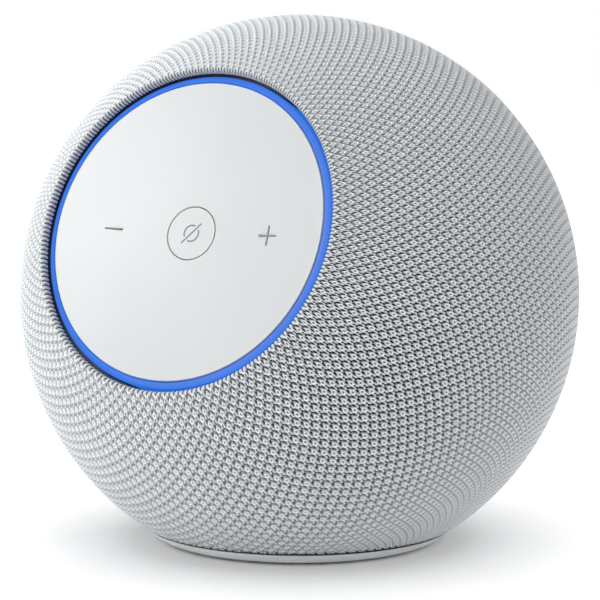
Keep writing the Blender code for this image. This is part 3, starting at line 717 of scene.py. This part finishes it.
def make_knit_cover(materials):
    """The knit sock: one thin sheet with its loops and holes as real relief, and painted shade in
    its holes.
    """
    u, v, directions = knit_grid()
    points = directions * BALL_R
    normals = directions.copy()
    down = np.array([0.0, 0.0, -1.0])
    points, normals, past_panel = round_hole(
        points, normals, directions, AXIS_N, math.radians(KNIT_FIRST), PANEL_ROLL)
    points, normals, past_hem = round_hole(
        points, normals, directions, down, math.radians(HEM_ANGLE), HEM_ROLL)
    points, normals, past_port = port_hole(points, normals, directions)
    past = np.maximum(np.maximum(past_panel, past_hem), past_port)
    holes, threads, depth = knit_relief(u, v, directions, past_panel, past_hem)
    points = points - normals * (depth * KNIT_DEPTH)[..., None]

    corners = grid_quads(u.shape, past < HEM_TUCK)
    used, quads = np.unique(corners, return_inverse=True)
    quads = quads.reshape(corners.shape)
    places = points.reshape(-1, 3)[used] + np.array(CENTRE)
    cover = add_mesh("knit_cover", places, quads, materials["knit_fabric"])
    # The hole attribute carries the painted shade of the holes, and the thread attribute the
    # painted highlight of the raised threads.
    for name, values in (("hole", holes), ("thread", threads)):
        attribute = cover.data.attributes.new(name, "FLOAT", "POINT")
        attribute.data.foreach_set("value", values.ravel()[used].astype(np.float32))
    add_bake_map(cover, corners, u.shape)
    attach(cover, "housing")
    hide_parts("fabric_cover")


# ---------------------------------------------------------------- panel, ring and keys

def panel_height(radius):
    """Height of the dished face at a distance from the panel's axis."""
    return PANEL_MID_H + PANEL_DISH * radius * radius


def arc(radius, start, end, steps):
    """Points along an arc about the origin, between two angles in degrees."""
    angles = [math.radians(start + (end - start) * k / steps) for k in range(steps + 1)]
    return [(radius * math.cos(a), radius * math.sin(a)) for a in angles]


def key_outline(grow, crossed):
    """A bar, or two crossed bars, with round ends, grown all round."""
    wide = KEY_BAR_W / 2 + grow
    reach = KEY_BAR / 2 - KEY_BAR_W / 2
    end = [(reach + x, y) for x, y in arc(wide, -90.0, 90.0, 8)]
    arm = end + [(wide, wide)] if crossed else end
    step = 90.0 if crossed else 180.0
    outline = []
    for k in range(round(360.0 / step)):
        turn = Matrix.Rotation(math.radians(step * k), 2)
        outline += [tuple(turn @ Vector(corner)) for corner in arm]
    return outline


def smooth_dish(obj):
    """Shade the dished face as one true curve, whatever its cuts."""
    mesh = obj.data
    to_local = PANEL_MATRIX.inverted()
    turn = PANEL_MATRIX.to_3x3()
    slope = 2.0 * PANEL_DISH
    as_it_is = Vector((0.0, 0.0, 0.0))
    normals = []
    for polygon in mesh.polygons:
        for index in polygon.vertices:
            local = to_local @ (mesh.vertices[index].co / MM)
            radius = math.hypot(local.x, local.y)
            on_face = abs(local.z - panel_height(radius)) < 0.004 and radius < PANEL_R - 0.3
            true = turn @ Vector((-slope * local.x, -slope * local.y, 1.0)).normalized()
            faces_out = polygon.normal.dot(true) > 0.97
            normals.append(true if on_face and faces_out else as_it_is)
    mesh.normals_split_custom_set(normals)


def make_panel(materials):
    """The dished disc with its mute hole and two key slots."""
    hole_r = MUTE_R + GROOVE
    bevel = 0.12
    radii = [hole_r + bevel + (PANEL_R - 0.5 - hole_r) * k / 24 for k in range(25)]
    top = [(hole_r, panel_height(hole_r) - bevel)]
    top += [(r, panel_height(r)) for r in radii]
    rim = panel_height(PANEL_R)
    edge = [(radii[-1], panel_height(radii[-1]), 0.0), (PANEL_R, rim, 0.35)]
    edge += [(PANEL_R, rim - PANEL_T, 0.0)]
    edge = softened(edge, closed=False)
    bottom = [(hole_r, panel_height(hole_r) - PANEL_T)]
    profile = top + edge[1:] + bottom
    panel = turned("panel_face", profile, materials["panel_plastic"], PANEL_MATRIX, 240)
    slots = []
    for side, crossed in ((-1.0, False), (1.0, True)):
        matrix = PANEL_MATRIX @ Matrix.Translation((side * KEY_X, 0.0, 0.0))
        outline = key_outline(SLOT_GAP, crossed)
        slots.append(prism("slot", outline, CUTTER_FOOT_H, CUTTER_TOP_H, None, matrix))
    cut_out(panel, slots)
    smooth_dish(panel)
    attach(panel, "housing")
    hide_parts("control_panel")


def sign_strip(name, points, material):
    """A thin raised printed line along points on the dished face, in the panel's frame."""
    bm = bmesh.new()
    rings = []
    for i, point in enumerate(points):
        here = Vector(point)
        before = Vector(points[max(i - 1, 0)])
        after = Vector(points[min(i + 1, len(points) - 1)])
        along = (after - before).normalized()
        side = Vector((-along.y, along.x)) * SIGN_LINE_W / 2
        ring = []
        for offset, rise in ((-1.0, -0.05), (1.0, -0.05), (0.8, 0.02), (-0.8, 0.02)):
            corner = here + side * offset
            height = panel_height(corner.length) + rise
            ring.append(bm.verts.new((corner.x, corner.y, height)))
        rings.append(ring)
    for first, second in zip(rings, rings[1:]):
        for k in range(4):
            n = (k + 1) % 4
            bm.faces.new((first[k], first[n], second[n], second[k]))
    bm.faces.new(rings[0])
    bm.faces.new(rings[-1][::-1])
    return from_bmesh(name, bm, material, PANEL_MATRIX, 30.0)


def make_mute_button(materials):
    """The flush round button with its printed sign: a broken circle and a slash."""
    flat_r = MUTE_R - 0.15
    top = [(flat_r * k / 12, panel_height(flat_r * k / 12)) for k in range(13)]
    rim = panel_height(MUTE_R)
    edge = [(flat_r, rim, 0.0), (MUTE_R, rim - 0.01, 0.14), (MUTE_R, MUTE_FLANGE_TOP_H, 0.0)]
    profile = top + softened(edge, closed=False)[1:]
    profile += [(MUTE_FLANGE_R, MUTE_FLANGE_TOP_H), (MUTE_FLANGE_R, MUTE_FLANGE_BOTTOM_H)]
    profile += [(MUTE_STEM_R, MUTE_FLANGE_BOTTOM_H), (MUTE_STEM_R, STEM_END_H), (0.0, STEM_END_H)]
    button = turned("mute_button_face", profile, materials["panel_plastic"], PANEL_MATRIX, 128)
    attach(button, "mute_button")
    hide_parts("mute_button")
    tip = Vector((math.cos(SLASH_ANGLE), math.sin(SLASH_ANGLE))) * SLASH_LENGTH / 2
    slash = [tip * k / 6 for k in range(-6, 7)]
    left = arc(SIGN_R, 67.0, 207.0, 24)
    right = arc(SIGN_R, -113.0, 27.0, 24)
    for name, points in (("slash", slash), ("left", left), ("right", right)):
        strip = sign_strip("mute_sign_" + name, points, materials["sign_grey"])
        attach(strip, "mute_button")


def make_keys(materials):
    """The two volume keys, whose raised bars stand in their slots."""
    face = panel_height(KEY_X) + KEY_PROUD
    for body, side, crossed in (("volume_down_key", -1.0, False), ("volume_up_key", 1.0, True)):
        matrix = PANEL_MATRIX @ Matrix.Translation((side * KEY_X, 0.0, 0.0))
        plastic = materials["key_plastic"]
        outline = key_outline(0.0, crossed)
        bars = prism(body + "_face", outline, KEY_BAR_FOOT_H, face, plastic, matrix)
        bevel = bars.modifiers.new("soft_edges", "BEVEL")
        bevel.width = 0.05 * MM
        bevel.segments = 2
        bevel.limit_method = "ANGLE"
        apply_modifiers(bars)
        stem = [(0.0, STEM_END_H), (KEY_STEM_R, STEM_END_H), (KEY_STEM_R, KEY_FLANGE_BOTTOM_H)]
        stem += [(KEY_FLANGE_R, KEY_FLANGE_BOTTOM_H), (KEY_FLANGE_R, KEY_FLANGE_TOP_H)]
        stem += [(0.0, KEY_FLANGE_TOP_H)]
        flange = turned(body + "_flange", stem, plastic, matrix, 48)
        for piece in (bars, flange):
            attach(piece, body)
        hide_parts(body)


def make_ring(materials):
    """The light guide with a softly rounded lip."""
    profile = [(RING_IN_R, RING_BOTTOM_H, 0.0), (RING_OUT_R, RING_BOTTOM_H, 0.0)]
    profile += [(RING_OUT_R, RING_OUT_H, 0.2), (RING_IN_R, RING_IN_H, 0.06)]
    profile += [(RING_IN_R, RING_FLANGE_ROOT_H, 0.0), (RING_FLANGE_R, RING_FLANGE_TOP_H, 0.0)]
    profile += [(RING_FLANGE_R, RING_FLANGE_BOTTOM_H, 0.0), (RING_IN_R, RING_FLANGE_BOTTOM_H, 0.0)]
    ring = turned("light_ring_lip", softened(profile), materials["light_guide"], PANEL_MATRIX, 256)
    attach(ring, "housing")
    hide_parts("light_ring")


# ---------------------------------------------------------------- base

def make_base(materials):
    """The base band and the rubber foot under it."""
    recess_r = FOOT_R + FOOT_GAP
    inner_r = SPIGOT_R - SPIGOT_WALL
    profile = [(0.0, FOOT_RECESS_Z, 0.0), (recess_r, FOOT_RECESS_Z, 0.0)]
    profile += [(recess_r, BASE_BOTTOM_Z, 0.1), (BASE_BOTTOM_R, BASE_BOTTOM_Z, 0.2)]
    profile += [(BASE_MID_R, BASE_MID_Z, 1.0), (BASE_TOP_R, BASE_TOP_Z, 0.25)]
    profile += [(SPIGOT_R, BASE_TOP_Z, 0.0), (SPIGOT_R, SPIGOT_Z, 0.3)]
    profile += [(inner_r, SPIGOT_Z, 0.3), (inner_r, CAP_FLOOR_Z, 0.0), (0.0, CAP_FLOOR_Z, 0.0)]
    cap = turned("base_band", softened(profile), materials["base_plastic"], None, 224)
    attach(cap, "housing")
    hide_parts("base_cap")
    foot_profile = [(0.0, 0.0, 0.0), (FOOT_R, 0.0, 0.5), (FOOT_R, FOOT_T, 0.1), (0.0, FOOT_T, 0.0)]
    foot = turned("foot_pad", softened(foot_profile), materials["rubber"], None, 160)
    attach(foot, "housing")
    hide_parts("rubber_foot")


# ---------------------------------------------------------------- floor, lights and camera

def make_floor():
    """A wide sheet of pale paper."""
    nodes = Nodes("studio_paper")
    paper = nodes.noise(40.0, 2.0)
    tone = nodes.ramp(paper, (0.3, (0.90, 0.90, 0.90)), (0.7, (0.92, 0.92, 0.92)))
    nodes.drive("Base Color", tone)
    nodes.drive("Roughness", nodes.span(paper, 0.85, 0.95))
    nodes.set("Specular IOR Level", 0.1)
    size = 4000.0
    corners = [(-size, -size, 0.0), (size, -size, 0.0), (size, size, 0.0), (-size, size, 0.0)]
    floor = add_mesh("floor", corners, [(0, 1, 2, 3)], nodes.material)
    return floor


def add_soft_light(name, azimuth, elevation, spread, brightness, sheen=False):
    """A far soft light; brightness is how white it alone makes a white card that faces it.

    A sheen light only shows as a reflection, and the others never do.
    """
    light = bpy.data.lights.new(name, "SUN")
    light.angle = math.radians(spread)
    light.energy = brightness * math.pi
    lamp = bpy.data.objects.new(name, light)
    bpy.context.scene.collection.objects.link(lamp)
    away = Vector(towards(math.radians(azimuth), math.radians(elevation)))
    lamp.rotation_euler = (-away).to_track_quat("-Z", "Y").to_euler()
    lamp.visible_diffuse = not sheen
    lamp.visible_glossy = sheen
    return lamp


def make_lights(floor):
    """A white room that is seen as pure white but lights the part softly, and five far lamps.

    The paper light is for the floor alone, so that the shadow is even all round. Key, top and
    fill leave the floor out.
    """
    world = bpy.data.worlds.new("studio")
    bpy.context.scene.world = world
    world.use_nodes = True
    tree = world.node_tree
    seen = tree.nodes["Background"]
    seen.inputs["Color"].default_value = (1.0, 1.0, 1.0, 1.0)
    seen.inputs["Strength"].default_value = 1.0
    lighting = tree.nodes.new("ShaderNodeBackground")
    lighting.inputs["Color"].default_value = (0.97, 0.985, 1.0, 1.0)
    lighting.inputs["Strength"].default_value = ROOM_LIGHT
    path = tree.nodes.new("ShaderNodeLightPath")
    mix = tree.nodes.new("ShaderNodeMixShader")
    tree.links.new(path.outputs["Is Camera Ray"], mix.inputs[0])
    tree.links.new(lighting.outputs[0], mix.inputs[1])
    tree.links.new(seen.outputs[0], mix.inputs[2])
    tree.links.new(mix.outputs[0], tree.nodes["World Output"].inputs["Surface"])
    key = add_soft_light("key", -50.0, 36.0, 60.0, 0.57)
    top = add_soft_light("top", -10.0, 72.0, 70.0, 0.62)
    fill = add_soft_light("fill", 0.0, 45.0, 60.0, 0.15)
    add_soft_light("panel_sheen", -12.0, 28.0, 40.0, 1.2, sheen=True)
    paper = add_soft_light("paper_light", 0.0, 90.0, 160.0, 1.38)
    linked = [(key, "EXCLUDE"), (top, "EXCLUDE"), (fill, "EXCLUDE"), (paper, "INCLUDE")]
    for light, state in linked:
        receivers = bpy.data.collections.new(light.name + "_and_floor")
        receivers.objects.link(floor)
        receivers.collection_objects[0].light_linking.link_state = state
        light.light_linking.receiver_collection = receivers


def make_camera():
    """A little above the ball's middle, 30 degrees round to the right, with a long lens."""
    data = bpy.data.cameras.new("camera")
    data.lens = CAMERA_LENS
    data.sensor_width = 36.0
    data.shift_x = 0.0008
    data.shift_y = -0.0094
    data.clip_start = 0.05
    camera = bpy.data.objects.new("camera", data)
    bpy.context.scene.collection.objects.link(camera)
    away = Vector(towards(CAMERA_AZ, CAMERA_EL))
    camera.location = (CENTRE + away * CAMERA_AWAY) * MM
    camera.rotation_euler = (-away).to_track_quat("-Z", "Y").to_euler()
    bpy.context.scene.camera = camera
    bpy.context.scene.view_settings.view_transform = "Standard"


materials = make_materials()
finish_cad_nodes(materials)
make_knit_cover(materials)
make_panel(materials)
make_mute_button(materials)
make_keys(materials)
make_ring(materials)
make_base(materials)
floor = make_floor()
make_lights(floor)
make_camera()
